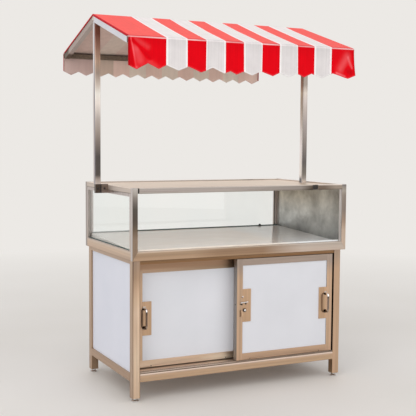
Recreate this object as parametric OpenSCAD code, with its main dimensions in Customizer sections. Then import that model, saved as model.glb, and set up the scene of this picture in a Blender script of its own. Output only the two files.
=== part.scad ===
// Steel vending stall: a cabinet with two sliding doors, a glazed display case on top of it,
// and a gabled fabric canopy on two posts. Millimetres, front (the door side) towards -Y, floor at z = 0.
// The driving sizes are measured from the left face and the front face of the cabinet.

/* [Cabinet] */
// Width of the cabinet over its legs
base_w = 1200; // [900:10:1600]
// Depth of the cabinet over its legs
base_d = 660; // [500:10:900]
// Height of the legs' top above the floor
base_top = 693; // [600:1:850]
// Side of the square tube of the cabinet
tube = 40; // [30:1:50]
// Corner radius of the cabinet's tubes
tube_r = 3; // [1:0.5:5]
// Corner radius of the smaller tubes of the case and the canopy
small_r = 1.5; // [1:0.5:3]
// Height of the underside of the bottom rails
rail_z = 96; // [60:1:150]
// Thickness of the cabinet's sheet floor
floor_t = 3; // [2:0.5:6]
// Thickness of the side and back panels
panel_t = 5; // [3:0.5:10]
// How far the panels lie behind the outer face of the tubes
panel_recess = 9; // [4:1:20]
// Height of the side top rails' lip that shows over the side panels
rail_lip_h = 15; // [8:1:30]

/* [Levelling feet] */
// Height of a foot under its leg
foot_h = 18; // [12:1:60]
// Diameter of the foot's pad
foot_pad_d = 39; // [30:1:60]
// Thickness of the foot's pad
foot_pad_t = 7; // [5:1:9]
// Diameter of the foot's threaded stem
foot_stem_d = 18; // [10:1:24]
// Chamfer on the edges of the foot's pad
foot_chamfer = 1.5; // [0.5:0.5:2]

/* [Sliding doors] */
// Width of each door
door_w = 580; // [400:5:760]
// Thickness of each door
door_t = 32; // [20:1:40]
// Clearance between a closed door's outer edge and its leg
door_side_gap = 8; // [5:1:20]
// Distance from the front face of the cabinet to the front door
door_recess = 4; // [2:1:15]
// Free space between the front door and the rear door
door_gap = 40; // [38:1:60]
// Width of a door's stiles and of its top and bottom rails
stile_w = 34; // [25:1:50]
// Height of the rear door's top rail, which is deeper than the front door's
rear_head_h = 52; // [30:1:80]
// Clearance between the door's lower edge and the bottom track's plate
sill_gap = 5; // [4:0.5:8]
// Clearance between the door's upper edge and the top track's lips
head_gap = 3; // [2:0.5:6]
// Thickness of the door's infill panel
infill_t = 14; // [6:1:24]
// How far the infill lies behind the door's front face
infill_recess = 4; // [2:1:8]
// Travel of each door
door_travel = 520; // [300:5:700]

/* [Door tracks] */
// Thickness of the tracks' plates
track_t = 3; // [2:0.5:5]
// Thickness of a track's lip
lip_t = 2; // [1.5:0.5:4]
// Height of the bottom track's lips
bottom_lip_h = 3; // [2:0.5:4]
// Depth of the top track with its lips
top_track_h = 17; // [14:1:25]
// How far a door's guides reach up between the top track's lips
guide_reach = 7; // [4:1:9]
// Diameter of a door roller
roller_d = 20; // [14:1:28]
// Width of a door roller
roller_w = 8; // [5:1:12]
// Diameter of a roller's axle
axle_d = 5; // [3:0.5:8]
// Distance of the axle's ends from the door's faces
axle_end = 1; // [0.5:0.5:4]
// Distance of the rollers and guides from the door's ends
roller_inset = 80; // [50:5:150]
// Running clearance of rollers and guides
running_gap = 1; // [0.5:0.1:2]

/* [Handles and lock] */
// Width of the steel plates behind the handles and the lock
plate_w = 48; // [40:1:80]
// Height of those plates
plate_h = 170; // [140:5:260]
// Height of the front door's handle plate centre above the floor
front_plate_z = 410; // [350:5:480]
// Height of the rear door's handle plate centre above the floor
rear_plate_z = 393; // [350:1:480]
// Height of the lock plate's centre above the floor
lock_plate_z = 432; // [380:1:480]
// Diameter of the handle's rod
rod_d = 10; // [6:0.5:12]
// Distance from the door's face to the far side of the grip
grip_reach = 36; // [28:1:38]
// Length of the handle over its legs
grip_len = 108; // [90:1:140]
// Radius of the bends at the handle's ends, on the rod's axis
grip_bend = 15; // [10:1:20]
// Distance of the handle from the plate's outer edge
grip_inset = 9; // [8:1:20]
// How far a handle's middle stands above its plate's middle
grip_rise = 3; // [0:1:20]
// Thickness of the flanges at the handle's ends
flange_t = 2; // [1:0.5:3]
// Diameter of the lock's barrel
barrel_d = 17; // [12:1:25]
// How far the barrel stands out of its plate
barrel_out = 10; // [6:1:15]
// Distance of the barrel from the inner edge of the door's stile
barrel_inset = 8; // [0:1:20]
// How far the barrel lies under the lock plate's middle
barrel_drop = 23; // [15:1:40]
// Length of the latch over the edge of the stile
latch_len = 45; // [30:1:60]
// Height of the latch
latch_h = 12; // [8:1:18]
// Thickness of the latch
latch_t = 7; // [4:1:10]
// How far the latch reaches over the stile
latch_reach = 19; // [10:1:25]
// How far the latch's lower edge lies above the lock plate's middle
latch_rise = 8; // [0:1:20]
// Diameter of the screw head above the latch
screw_d = 8; // [5:0.5:10]
// How far the screw lies above the lock plate's middle
screw_rise = 44; // [30:1:60]

/* [Deck and display case] */
// How much wider the display case is than the cabinet
case_wider = 31; // [0:1:100]
// How much deeper the display case is than the cabinet
case_deeper = 52; // [0:1:100]
// Height of the display case's top above the floor
case_top = 1046; // [850:1:1300]
// Side of the case's square tubes
post = 27; // [20:1:40]
// Height of the rails round the deck
deck_rail_h = 44; // [30:1:60]
// How far the deck lies under its front rail's top
deck_drop = 2; // [1:0.5:6]
// How much higher the deck is at the back than at the front
deck_rise = 30; // [0:1:60]
// Thickness of the glass
glass_t = 6; // [4:0.5:10]
// Thickness of the steel sheet in the right end
end_sheet_t = 3; // [1.5:0.5:6]
// Thickness of the top shelf's sheet
shelf_t = 4; // [2:0.5:8]
// How far the top shelf lies under the top of its rails
shelf_drop = 6; // [2:1:15]
// Width of the glazing beads along the edges of the glass
bead_h = 15; // [8:1:20]
// Height of the beads' lower strips, which stand on the deck's rails
bead_foot_h = 4; // [2:1:15]
// Thickness of the inner glazing beads
bead_t = 3; // [2:0.5:5]
// Distance of the front top rail's joint from the right end of the case
joint_x = 180; // [120:5:400]
// Length of the joint's sleeve that shows between the two lengths of rail
joint_len = 34; // [20:1:60]
// Length of the dark cap at the front top rail's left end
cap_len = 8; // [4:1:20]
// How far the sleeve and the cap lie under the rail's faces
joint_inset = 1.5; // [1:0.5:3]

/* [Canopy] */
// Depth of the canopy over its valances
canopy_d = 1009; // [800:1:1300]
// Distance of the front eave from the front of the cabinet
eave_front = -149; // [-250:1:-60]
// Height of the eaves
eave_z = 1751; // [1500:1:2000]
// Height of the ridge above the eaves
ridge_rise = 156; // [80:1:350]
// Thickness of the fabric, with its hems
cover_t = 3; // [2:0.5:5]
// Side of the frame's square tubes
frame_tube = 25; // [18:1:35]
// Depth of the rafters at the gable ends
rafter_h = 36; // [28:1:45]
// Clearance of the rafters' notched ends over the post's top
rafter_rise = 1; // [0.8:0.1:2]
// Depth of the valance down to its valleys
valance_h = 122; // [80:1:200]
// Depth of the pointed tips under the valleys
tip_h = 26; // [10:1:50]
// Number of stripes along the canopy
stripes = 11; // [7:2:21]
// Width of the first stripe, in stripe widths
first_stripe = 1.9; // [1:0.1:2.5]
// Width of the last stripe, in stripe widths
last_stripe = 1.35; // [1:0.05:2.5]

/* [Canopy posts] */
// Side of the canopy's square posts
mast = 30; // [25:1:40]
// Distance between the left post and the case's left face
left_mast_gap = 41; // [30:1:70]
// Distance between the right post and the case's right top rail
right_mast_gap = 12; // [10:1:60]
// Distance from the canopy's left end to the left post
left_mast_inset = 7; // [5:1:30]
// How far the right post's outer face stands past the canopy's right end
right_mast_out = 32; // [0:1:60]
// Height of the left post's bracket
bracket_h = 46; // [30:1:80]
// How far the bracket's top lies over the case's top
bracket_rise = 5; // [0:1:15]
// How far the left post's sides stand past the bracket
bracket_inset = 4; // [2:1:8]
// How far the right post's foot plate reaches past the post
foot_plate_edge = 8; // [5:1:20]

/* [Hidden] */
$fn = 48;
// Clearance where a loose piece seats against another
seat = 0.3;
case_w = base_w + case_wider;
case_d = base_d + case_deeper;
left_mast_x = -left_mast_gap - mast;
right_mast_x = case_w - post - right_mast_gap - mast;
canopy_left = left_mast_x - left_mast_inset;
canopy_right = right_mast_x + mast - right_mast_out;
canopy_len = canopy_right - canopy_left;
canopy_back = eave_front + canopy_d;
ridge_y = (eave_front + canopy_back) / 2;
ridge_z = eave_z + ridge_rise;
slope = ridge_rise / (canopy_d / 2);
origin_x = (canopy_left + case_w) / 2;
origin_y = ridge_y;

rail_top = rail_z + tube;
inner_w = base_w - 2 * tube;
inner_d = base_d - 2 * tube;
sill_z = rail_top + floor_t;
door_z = sill_z + track_t + sill_gap;
head_z = base_top - top_track_h;
door_h = head_z - head_gap - door_z;
front_door_x = base_w - tube - door_side_gap - door_w;
front_door_y = door_recess;
rear_door_x = tube + door_side_gap;
rear_door_y = front_door_y + door_t + door_gap;
track_d = rear_door_y + door_t + door_recess;
roller_y = door_t / 2;

deck_top = base_top + deck_rail_h;
span_w = case_w - 2 * post;
span_d = case_d - 2 * post;
top_rail_z = case_top - post;
shelf_z = case_top - shelf_drop;
joint_x0 = case_w - joint_x - joint_len;

eave_back_tube_y = canopy_back - cover_t - seat - frame_tube;
eave_front_tube_y = eave_front + cover_t + seat;
eave_tube_top = eave_z - cover_t + cover_t * slope - seat;
ridge_tube_top = ridge_z - cover_t - frame_tube / 2 * slope - seat;
mast_top = ridge_tube_top - frame_tube;
mast_y = ridge_y - mast / 2;
left_foot_z = case_top + bracket_rise;
ridge_x0 = canopy_left + cover_t;
ridge_x1 = right_mast_x + mast / 2;

steel = "#b59a82";
bright_steel = "#c6bfc0";
white_panel = "#d6d6da";
dark = "#3c3836";
chrome = "#dcdcde";
fabric_red = "#e2001a";

// Moves the stall's own corner coordinates to the origin at the middle of its footprint
module placed() translate([-origin_x, -origin_y, 0]) children();

module rounded_section(w, d, r) {
    translate([r, 0]) square([w - 2 * r, d]);
    translate([0, r]) square([w, d - 2 * r]);
    for (x = [r, w - r])
        for (y = [r, d - r])
            translate([x, y]) circle(r);
}

// Square or flat tube standing along Z, along X or along Y, from its lowest corner
module tube_z(at, w, d, h, r = tube_r) translate(at) linear_extrude(h) rounded_section(w, d, r);

module tube_x(at, l, d, h, r = tube_r)
    translate(at) rotate([90, 0, 90]) linear_extrude(l) rounded_section(d, h, r);

module tube_y(at, l, w, h, r = tube_r)
    translate([at[0], at[1] + l, at[2]]) rotate([90, 0, 0]) linear_extrude(l) rounded_section(w, h, r);

// A profile drawn in the XZ plane, made thick along +Y
module front_plate(y, t) translate([0, y + t, 0]) rotate([90, 0, 0]) linear_extrude(t) children();

// A profile drawn in the YZ plane, made long along +X
module side_profile(x, l) translate([x, 0, 0]) rotate([90, 0, 90]) linear_extrude(l) children();

module leg(x, y) color(steel) placed() tube_z([x, y, foot_h], tube, tube, base_top - foot_h);

module front_left_leg() leg(0, 0);
module front_right_leg() leg(base_w - tube, 0);
module back_left_leg() leg(0, base_d - tube);
module back_right_leg() leg(base_w - tube, base_d - tube);

module levelling_foot() {
    pad_r = foot_pad_d / 2;
    stem_r = foot_stem_d / 2;
    neck_z = foot_pad_t + (foot_h - foot_pad_t) / 3;
    neck_r = stem_r + foot_chamfer;
    rotate_extrude() polygon([[0, 0], [pad_r - foot_chamfer, 0], [pad_r, foot_chamfer],
        [pad_r, foot_pad_t - foot_chamfer], [pad_r - foot_chamfer, foot_pad_t], [neck_r, neck_z],
        [stem_r, neck_z], [stem_r, foot_h], [0, foot_h]]);
}

module levelling_feet() color(chrome) placed()
    for (x = [tube / 2, base_w - tube / 2])
        for (y = [tube / 2, base_d - tube / 2])
            translate([x, y, 0]) levelling_foot();

module front_bottom_rail() color(steel) placed() tube_x([tube, 0, rail_z], inner_w, tube, tube);

module back_bottom_rail() color(steel) placed() tube_x([tube, base_d - tube, rail_z], inner_w, tube, tube);

module side_bottom_rails() color(steel) placed()
    for (x = [0, base_w - tube])
        tube_y([x, tube, rail_z], inner_d, tube, tube);

// Top rails; the side ones are rebated for the panels, which cover all of them but a lip
module cabinet_top_rails() color(steel) placed() {
    rebate = panel_recess + panel_t;
    for (side = [[0, 1], [base_w, -1]])
        front_plate(tube, inner_d)
            polygon([for (p = [[0, rail_lip_h], [0, 0], [tube, 0], [tube, tube], [rebate, tube],
                [rebate, rail_lip_h]]) [side[0] + side[1] * p[0], base_top - p[1]]]);
    tube_x([tube, base_d - tube, base_top - tube], inner_w, tube, tube);
}

module side_panels() color(white_panel) placed()
    for (x = [panel_recess, base_w - panel_recess - panel_t])
        translate([x, tube, rail_top]) cube([panel_t, inner_d, base_top - rail_lip_h - rail_top]);

module back_panel() color(white_panel) placed()
    translate([tube, base_d - panel_recess - panel_t, rail_top])
        cube([inner_w, panel_t, base_top - tube - rail_top]);

// Sheet that lies on the bottom rails, notched round the legs
module cabinet_floor() color(steel) placed()
    translate([0, 0, rail_top]) linear_extrude(floor_t) difference() {
        translate([panel_recess + panel_t, tube_r])
            square([base_w - 2 * (panel_recess + panel_t), base_d - tube_r - panel_recess - panel_t]);
        for (x = [0, base_w - tube])
            for (y = [0, base_d - tube])
                translate([x, y]) square(tube);
    }

// Positions across a track, one for each door's rollers
function roller_lines() = [front_door_y + roller_y, rear_door_y + roller_y];

module bottom_track() color(bright_steel) placed() {
    lip_y = roller_w / 2 + running_gap;
    side_profile(tube, inner_w) {
        translate([tube_r, sill_z]) square([track_d - tube_r, track_t]);
        for (y = roller_lines())
            for (side = [-lip_y - lip_t, lip_y])
                translate([y + side, sill_z]) square([lip_t, track_t + bottom_lip_h]);
    }
}

module top_track() color(steel) placed() {
    lip_y = roller_w / 2 + running_gap;
    side_profile(tube, inner_w) {
        translate([tube_r, base_top - track_t]) square([track_d - tube_r, track_t]);
        translate([tube_r, head_z]) square([lip_t, top_track_h]);
        for (y = roller_lines())
            for (side = [-lip_y - lip_t, lip_y])
                translate([y + side, head_z]) square([lip_t, top_track_h]);
    }
}

// A door's frame, with its own lower left front corner at the origin
module door_frame(head_h) {
    difference() {
        cube([door_w, door_t, door_h]);
        translate([stile_w, -1, stile_w]) cube([door_w - 2 * stile_w, door_t + 2, door_h - stile_w - head_h]);
        for (x = [roller_inset, door_w - roller_inset]) {
            translate([x - roller_d / 2 - running_gap, roller_y - roller_w / 2 - running_gap, -1])
                cube([roller_d + 2 * running_gap, roller_w + 2 * running_gap, roller_d + 1]);
            translate([x, -1, roller_d / 2 - sill_gap + seat]) rotate([-90, 0, 0])
                cylinder(d = axle_d + 2 * seat, h = door_t + 2);
        }
    }
}

module door_infill(head_h)
    translate([stile_w, infill_recess, stile_w])
        cube([door_w - 2 * stile_w, infill_t, door_h - stile_w - head_h]);

module door_rollers() for (x = [roller_inset, door_w - roller_inset]) {
    translate([x, 0, roller_d / 2 - sill_gap + seat]) {
        translate([0, roller_y - roller_w / 2, 0]) rotate([-90, 0, 0]) cylinder(d = roller_d, h = roller_w);
        translate([0, axle_end, 0]) rotate([-90, 0, 0]) cylinder(d = axle_d, h = door_t - 2 * axle_end);
    }
    translate([x - stile_w / 2, roller_y - roller_w / 2, door_h])
        cube([stile_w, roller_w, head_gap + guide_reach]);
}

module at_front_door() placed() translate([front_door_x, front_door_y, door_z]) children();
module at_rear_door() placed() translate([rear_door_x, rear_door_y, door_z]) children();

// A plate on the infill, flush with the door's front face
module door_plate(x, z) translate([x, 0, z - plate_h / 2 - door_z]) cube([plate_w, infill_recess, plate_h]);

// D handle on the plate's face: two legs, two bends and the grip, its base flanges at y = 0
module d_handle() {
    reach = grip_reach - rod_d / 2;
    half = grip_len / 2 - rod_d / 2;
    translate([0, -reach, -half + grip_bend]) cylinder(d = rod_d, h = 2 * (half - grip_bend));
    for (s = [-1, 1]) {
        translate([0, 0, s * half]) rotate([90, 0, 0]) cylinder(d = rod_d, h = reach - grip_bend);
        translate([0, 0, s * half]) rotate([90, 0, 0]) cylinder(d = 2 * rod_d, h = flange_t);
        mirror([0, 0, s < 0 ? 1 : 0]) translate([0, -reach + grip_bend, half - grip_bend])
            rotate([90, 0, -90]) rotate_extrude(angle = 90) translate([grip_bend, 0]) circle(d = rod_d);
    }
}

module left_door_frame() color(steel) at_rear_door() door_frame(rear_head_h);
module left_door_panel() color(white_panel) at_rear_door() door_infill(rear_head_h);
module left_door_plate() color(steel) at_rear_door() door_plate(stile_w, rear_plate_z);
module left_door_handle() color(chrome) at_rear_door()
    translate([stile_w + grip_inset, 0, rear_plate_z + grip_rise - door_z]) d_handle();
module left_door_rollers() color(dark) at_rear_door() door_rollers();

module right_door_frame() color(steel) at_front_door() door_frame(stile_w);
module right_door_panel() color(white_panel) at_front_door() door_infill(stile_w);
module right_door_plates() color(steel) at_front_door() {
    door_plate(door_w - stile_w - plate_w, front_plate_z);
    door_plate(stile_w, lock_plate_z);
}
module right_door_handle() color(chrome) at_front_door()
    translate([door_w - stile_w - grip_inset, 0, front_plate_z + grip_rise - door_z]) d_handle();
module right_door_rollers() color(dark) at_front_door() door_rollers();

// Barrel of the lock, the latch above it and the screw that holds the plate
module door_lock() color(chrome) at_front_door() translate([stile_w, 0, lock_plate_z - door_z]) {
    translate([barrel_inset, 0, -barrel_drop]) rotate([90, 0, 0]) cylinder(d = barrel_d, h = barrel_out);
    translate([-latch_reach, -latch_t, latch_rise]) cube([latch_len, latch_t, latch_h]);
    translate([screw_d / 4, 0, screw_rise]) rotate([90, 0, 0]) cylinder(d = screw_d, h = screw_d / 3);
}

// Front and back rails of the deck, mitred into the case's posts
module deck_long_rails() color(steel) placed()
    for (y = [0, case_d - post])
        front_plate(y, post)
            polygon([[0, base_top], [post, deck_top], [case_w - post, deck_top], [case_w, base_top]]);

module deck_side_rails() color(steel) placed()
    for (x = [0, case_w - post])
        tube_y([x, post, base_top], span_d, post, deck_rail_h, small_r);

// Closed tray that rises towards the back
module display_deck() color("#dcdde2") placed()
    side_profile(post, span_w)
        polygon([[post, base_top], [case_d - post, base_top],
            [case_d - post, deck_top - deck_drop + deck_rise], [post, deck_top - deck_drop]]);

module case_posts() color(bright_steel) placed()
    for (y = [0, case_d - post])
        front_plate(y, post) {
            polygon([[0, base_top], [post, deck_top], [post, case_top], [0, case_top]]);
            polygon([[case_w, base_top], [case_w, case_top], [case_w - post, case_top],
                [case_w - post, deck_top]]);
        }

module top_front_rail() color(bright_steel) placed() {
    tube_x([post + cap_len, 0, top_rail_z], joint_x0 - post - cap_len, post, post, small_r);
    tube_x([joint_x0 + joint_len, 0, top_rail_z], case_w - post - joint_x0 - joint_len, post, post, small_r);
}

// Dark sleeve between the two lengths of the front rail, and the cap at its left end
module top_rail_joint() color(dark) placed() {
    side = post - 2 * joint_inset;
    for (x = [[post, cap_len], [joint_x0, joint_len]])
        tube_x([x[0], joint_inset, top_rail_z + joint_inset], x[1], side, side, small_r);
}

module top_back_rail() color(bright_steel) placed()
    tube_x([post, case_d - post, top_rail_z], span_w, post, post, small_r);

module top_side_rails() color(bright_steel) placed()
    for (x = [0, case_w - post])
        tube_y([x, post, top_rail_z], span_d, post, post, small_r);

// Outline of the right post's foot plate, from the post's inner side to the case's right rail
module foot_plate_outline() {
    reach = foot_plate_edge;
    translate([right_mast_x - reach, mast_y - reach])
        square([case_w - post - right_mast_x + reach, mast + 2 * reach]);
}

// Sheet between the top rails, notched for the foot plate
module top_shelf() color("#efe3d8") placed()
    translate([0, 0, shelf_z - shelf_t]) linear_extrude(shelf_t) difference() {
        translate([post, post]) square([span_w, span_d]);
        foot_plate_outline();
    }

module left_glass() color([0.7, 0.82, 0.82, 0.4]) placed()
    translate([(post - glass_t) / 2, post, deck_top]) cube([glass_t, span_d, top_rail_z - deck_top]);

module back_glass() color([0.7, 0.82, 0.82, 0.4]) placed()
    translate([post, case_d - (post + glass_t) / 2, deck_top]) cube([span_w, glass_t, top_rail_z - deck_top]);

// Flat frame of beads along the four edges of a pane, drawn over its length and height
module bead_frame(l, t) rotate([90, 0, 90]) linear_extrude(t) difference() {
    square([l, top_rail_z - deck_top]);
    translate([bead_h, bead_foot_h])
        square([l - 2 * bead_h, top_rail_z - deck_top - bead_foot_h - bead_h]);
}

// Beads of the left and the back pane: the outer ones flush with the case's posts, the inner ones thin
module glazing_beads() color(bright_steel) placed() {
    outer_t = (post - glass_t) / 2;
    for (bead = [[0, outer_t], [outer_t + glass_t, bead_t]]) {
        translate([bead[0], post, deck_top]) bead_frame(span_d, bead[1]);
        translate([post, case_d - bead[0], deck_top]) rotate([0, 0, -90]) bead_frame(span_w, bead[1]);
    }
}

module end_sheet() color("#98968e") placed()
    translate([case_w - post + seat, post, deck_top]) cube([end_sheet_t, span_d, top_rail_z - deck_top]);

module canopy_posts() color(bright_steel) placed() {
    tube_z([left_mast_x, mast_y, left_foot_z], mast, mast, mast_top - left_foot_z);
    tube_z([right_mast_x, mast_y, shelf_z], mast, mast, mast_top - shelf_z);
}

// Tube stub on the case's left top rail, on which the left post stands
module left_post_bracket() color(dark) placed() {
    start = left_mast_x + bracket_inset;
    tube_x([start, mast_y + bracket_inset, left_foot_z - bracket_h], -start, mast - 2 * bracket_inset,
        bracket_h, small_r);
}

// Plate under the right post, flush in the shelf and joined to the case's right rail
module right_post_foot() color(bright_steel) placed()
    translate([0, 0, shelf_z - shelf_t]) linear_extrude(shelf_t) foot_plate_outline();

module ridge_tube() color(bright_steel) placed()
    tube_x([ridge_x0, ridge_y - frame_tube / 2, mast_top], ridge_x1 - ridge_x0, frame_tube, frame_tube,
        small_r);

module eave_tubes() color("#5a4b3e") placed()
    for (y = [eave_front_tube_y, eave_back_tube_y])
        tube_x([canopy_left + cover_t, y, eave_tube_top - frame_tube], canopy_len - 2 * cover_t, frame_tube,
            frame_tube, small_r);

// Height of the fabric's underside over a distance from the front eave's outer face
function lining_z(run) = eave_z - cover_t + run * slope;

// One sloping tube between an eave tube and the ridge tube, notched beside the post, drawn over its
// distance from the eave
module rafter_profile() {
    start = cover_t + seat + frame_tube;
    end = canopy_d / 2 - frame_tube / 2;
    notch = canopy_d / 2 - mast / 2 - seat;
    low = seat + rafter_h;
    notch_low = seat + frame_tube - rafter_rise;
    polygon([for (p = [[start, low], [notch, low], [notch, notch_low], [end, notch_low], [end, seat],
        [start, seat]]) [p[0], lining_z(p[0]) - p[1]]]);
}

module rafters() color(bright_steel) placed()
    for (x = [canopy_left + cover_t, canopy_right - cover_t - frame_tube])
        for (back = [0, 1])
            translate([0, back ? canopy_back : eave_front, 0]) mirror([0, back, 0])
                side_profile(x, frame_tube) rafter_profile();

// One slope of the fabric, drawn over its distance from the eave
module slope_profile()
    polygon([[0, eave_z], [canopy_d / 2, ridge_z], [canopy_d / 2, ridge_z - cover_t], [0, eave_z - cover_t]]);

module cover_front() color(fabric_red) placed()
    translate([0, eave_front, 0]) side_profile(canopy_left, canopy_len) slope_profile();

module cover_back() color(fabric_red) placed()
    translate([0, canopy_back, 0]) mirror([0, 1, 0]) side_profile(canopy_left, canopy_len) slope_profile();

// Edges of the stripes along the ridge
stripe_w = canopy_len / (stripes - 2 + first_stripe + last_stripe);
function stripe_edge(i) = i == 0 ? 0 : i == stripes ? canopy_len : (first_stripe + i - 1) * stripe_w;

// Lower edge of the valance: a point under each stripe, and two under the wide first one
function tip_count(i) = i == 0 && first_stripe > 1.5 ? 2 : 1;
valley_z = eave_z - cover_t - valance_h;
scallops = [for (i = [0 : stripes - 1])
    let (a = stripe_edge(i), b = stripe_edge(i + 1), n = tip_count(i))
    for (k = [0 : n - 1])
        for (p = [[a + (b - a) * k / n, valley_z], [a + (b - a) * (k + 0.5) / n, valley_z - tip_h]])
            [canopy_left + p[0], p[1]]];

module cover_valances() color(fabric_red) placed()
    for (y = [eave_front, canopy_back - cover_t])
        front_plate(y, cover_t)
            polygon(concat([[canopy_right, eave_z - cover_t], [canopy_left, eave_z - cover_t]], scallops,
                [[canopy_right, valley_z]]));

front_left_leg();
front_right_leg();
back_left_leg();
back_right_leg();
levelling_feet();
front_bottom_rail();
back_bottom_rail();
side_bottom_rails();
cabinet_top_rails();
side_panels();
back_panel();
cabinet_floor();
bottom_track();
top_track();
left_door_frame();
left_door_panel();
left_door_plate();
left_door_handle();
left_door_rollers();
right_door_frame();
right_door_panel();
right_door_plates();
right_door_handle();
right_door_rollers();
door_lock();
deck_long_rails();
deck_side_rails();
display_deck();
case_posts();
top_front_rail();
top_rail_joint();
top_back_rail();
top_side_rails();
top_shelf();
left_glass();
back_glass();
glazing_beads();
end_sheet();
canopy_posts();
left_post_bracket();
right_post_foot();
ridge_tube();
eave_tubes();
rafters();
cover_front();
cover_back();
cover_valances();
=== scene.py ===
"""Steel vending stall: finishes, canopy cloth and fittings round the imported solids.

Sizes in this file are millimetres in the stall's own coordinates, as its maker reads them: x from the
cabinet's left face, y from its front face, z from the floor. at() takes them to the row frame in metres.
"""
import math
import random

import bmesh
import bpy
import numpy as np
from mathutils import Matrix, Vector


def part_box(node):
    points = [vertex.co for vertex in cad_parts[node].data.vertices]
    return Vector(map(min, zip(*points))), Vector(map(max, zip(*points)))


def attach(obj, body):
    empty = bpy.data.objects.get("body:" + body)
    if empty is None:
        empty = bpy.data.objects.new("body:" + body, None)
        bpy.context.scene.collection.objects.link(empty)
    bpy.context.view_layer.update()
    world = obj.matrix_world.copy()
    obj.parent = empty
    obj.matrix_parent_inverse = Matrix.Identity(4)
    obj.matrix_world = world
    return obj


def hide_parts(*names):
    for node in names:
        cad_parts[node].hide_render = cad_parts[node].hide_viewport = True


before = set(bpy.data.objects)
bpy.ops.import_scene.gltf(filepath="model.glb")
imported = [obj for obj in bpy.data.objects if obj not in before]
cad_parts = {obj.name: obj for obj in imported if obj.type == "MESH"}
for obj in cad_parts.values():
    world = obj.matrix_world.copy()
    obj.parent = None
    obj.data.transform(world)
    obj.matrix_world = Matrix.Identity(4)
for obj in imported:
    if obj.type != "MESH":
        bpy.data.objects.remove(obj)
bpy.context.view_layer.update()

MM = 0.001
ORIGIN = {"x": 576.5, "y": 355.5, "z": 0.0}


def at(x, y, z):
    """A point in stall millimetres, in the row frame."""
    return Vector(((x - ORIGIN["x"]) * MM, (y - ORIGIN["y"]) * MM, z * MM))


def as_object(name, mesh):
    """An object of the scene from a finished mesh."""
    data = bpy.data.meshes.new(name)
    mesh.to_mesh(data)
    mesh.free()
    made = bpy.data.objects.new(name, data)
    bpy.context.scene.collection.objects.link(made)
    return made


def stall_box(name):
    """Lowest and highest corner of a CAD node, in stall millimetres."""
    low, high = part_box(name)
    shift = Vector((ORIGIN["x"], ORIGIN["y"], 0))
    return low / MM + shift, high / MM + shift


# Camera, at the photograph's viewing angle
LENS, YAW, PITCH, ROLL = 77.16, math.radians(26.06), math.radians(4.52), math.radians(0.39)
forward = Vector((math.sin(YAW) * math.cos(PITCH), math.cos(YAW) * math.cos(PITCH), -math.sin(PITCH)))
level = Vector((math.cos(YAW), -math.sin(YAW), 0))
upward = level.cross(forward)
side = math.cos(ROLL) * level + math.sin(ROLL) * upward
top = math.cos(ROLL) * upward - math.sin(ROLL) * level
camera = bpy.data.objects.new("camera", bpy.data.cameras.new("camera"))
bpy.context.scene.collection.objects.link(camera)
camera.data.lens = LENS
camera.data.sensor_width = 36
camera.data.clip_end = 60
camera.matrix_world = Matrix((side, top, -forward)).transposed().to_4x4()
camera.location = (-2.1217, -4.3370, 1.2914)
bpy.context.scene.camera = camera
bpy.context.scene.view_settings.view_transform = "Standard"


# Materials
def linear(hex_code):
    """An sRGB hex colour as the linear values that Blender works in."""
    parts = [int(hex_code[i:i + 2], 16) / 255 for i in (1, 3, 5)]
    return [p / 12.92 if p <= 0.04045 else ((p + 0.055) / 1.055) ** 2.4 for p in parts] + [1.0]


def feed(tree, made, inputs):
    """Sets a node's inputs to values, or links them to sockets. A node stands for its first output in use."""
    for key, value in inputs.items():
        if isinstance(value, bpy.types.Node):
            value = next(output for output in value.outputs if output.enabled)
        if isinstance(value, bpy.types.NodeSocket):
            tree.links.new(value, made.inputs[key])
        else:
            made.inputs[key].default_value = value


def add(tree, kind, inputs=None, stops=(), steps=False, **settings):
    """Adds a shader node with its settings and inputs. A colour ramp also takes its (position, colour) stops,
    which meet without blending if steps is set."""
    made = tree.nodes.new("ShaderNode" + kind)
    for key, value in settings.items():
        setattr(made, key, value)
    feed(tree, made, inputs or {})
    if stops:
        made.color_ramp.interpolation = "CONSTANT" if steps else "LINEAR"
        points = made.color_ramp.elements
        while len(points) < len(stops):
            points.new(0.5)
        for point, (position, colour) in zip(points, sorted(stops)):
            point.position = position
            point.color = linear(colour)
    return made


def finish(name, **constants):
    """A new material with one Principled shader, its constant values set on the shader's own sockets."""
    made = bpy.data.materials.new(name)
    made.use_nodes = True
    tree = made.node_tree
    tree.nodes.clear()
    shader = add(tree, "BsdfPrincipled", {key.replace("_", " "): value for key, value in constants.items()})
    add(tree, "OutputMaterial", {"Surface": shader})
    return made, tree, shader


def place(tree, axis, kind="Object"):
    """The place along an axis, or the surface's direction along it for the kind Normal."""
    return add(tree, "SeparateXYZ", {"Vector": add(tree, "TexCoord").outputs[kind]}).outputs[axis.upper()]


def span(tree, value, low, high, first=0.0, last=1.0):
    """A value's share of a span, kept inside it. With an axis for the value it is a span of the stall."""
    if isinstance(value, str):
        low, high, value = (low - ORIGIN[value]) * MM, (high - ORIGIN[value]) * MM, place(tree, value)
    ends = {"From Min": low, "From Max": high, "To Min": first, "To Max": last}
    return add(tree, "MapRange", {"Value": value, **ends})


def pattern(tree, size, detail, **more):
    """Soft noise in steps of the given sizes, in millimetres along x, y and z."""
    spot = add(tree, "Mapping", {"Vector": add(tree, "TexCoord").outputs["Object"],
                                 "Scale": [1 / (s * MM) for s in size]})
    return add(tree, "TexNoise", {"Vector": spot, "Scale": 1.0, "Detail": detail, **more})


def layered(tree, colour, *layers):
    """A colour with others over it, each given as (share, colour)."""
    for share, over in layers:
        colour = add(tree, "Mix", {"Factor": share, "A": colour, "B": over}, data_type="RGBA")
    return colour


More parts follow.
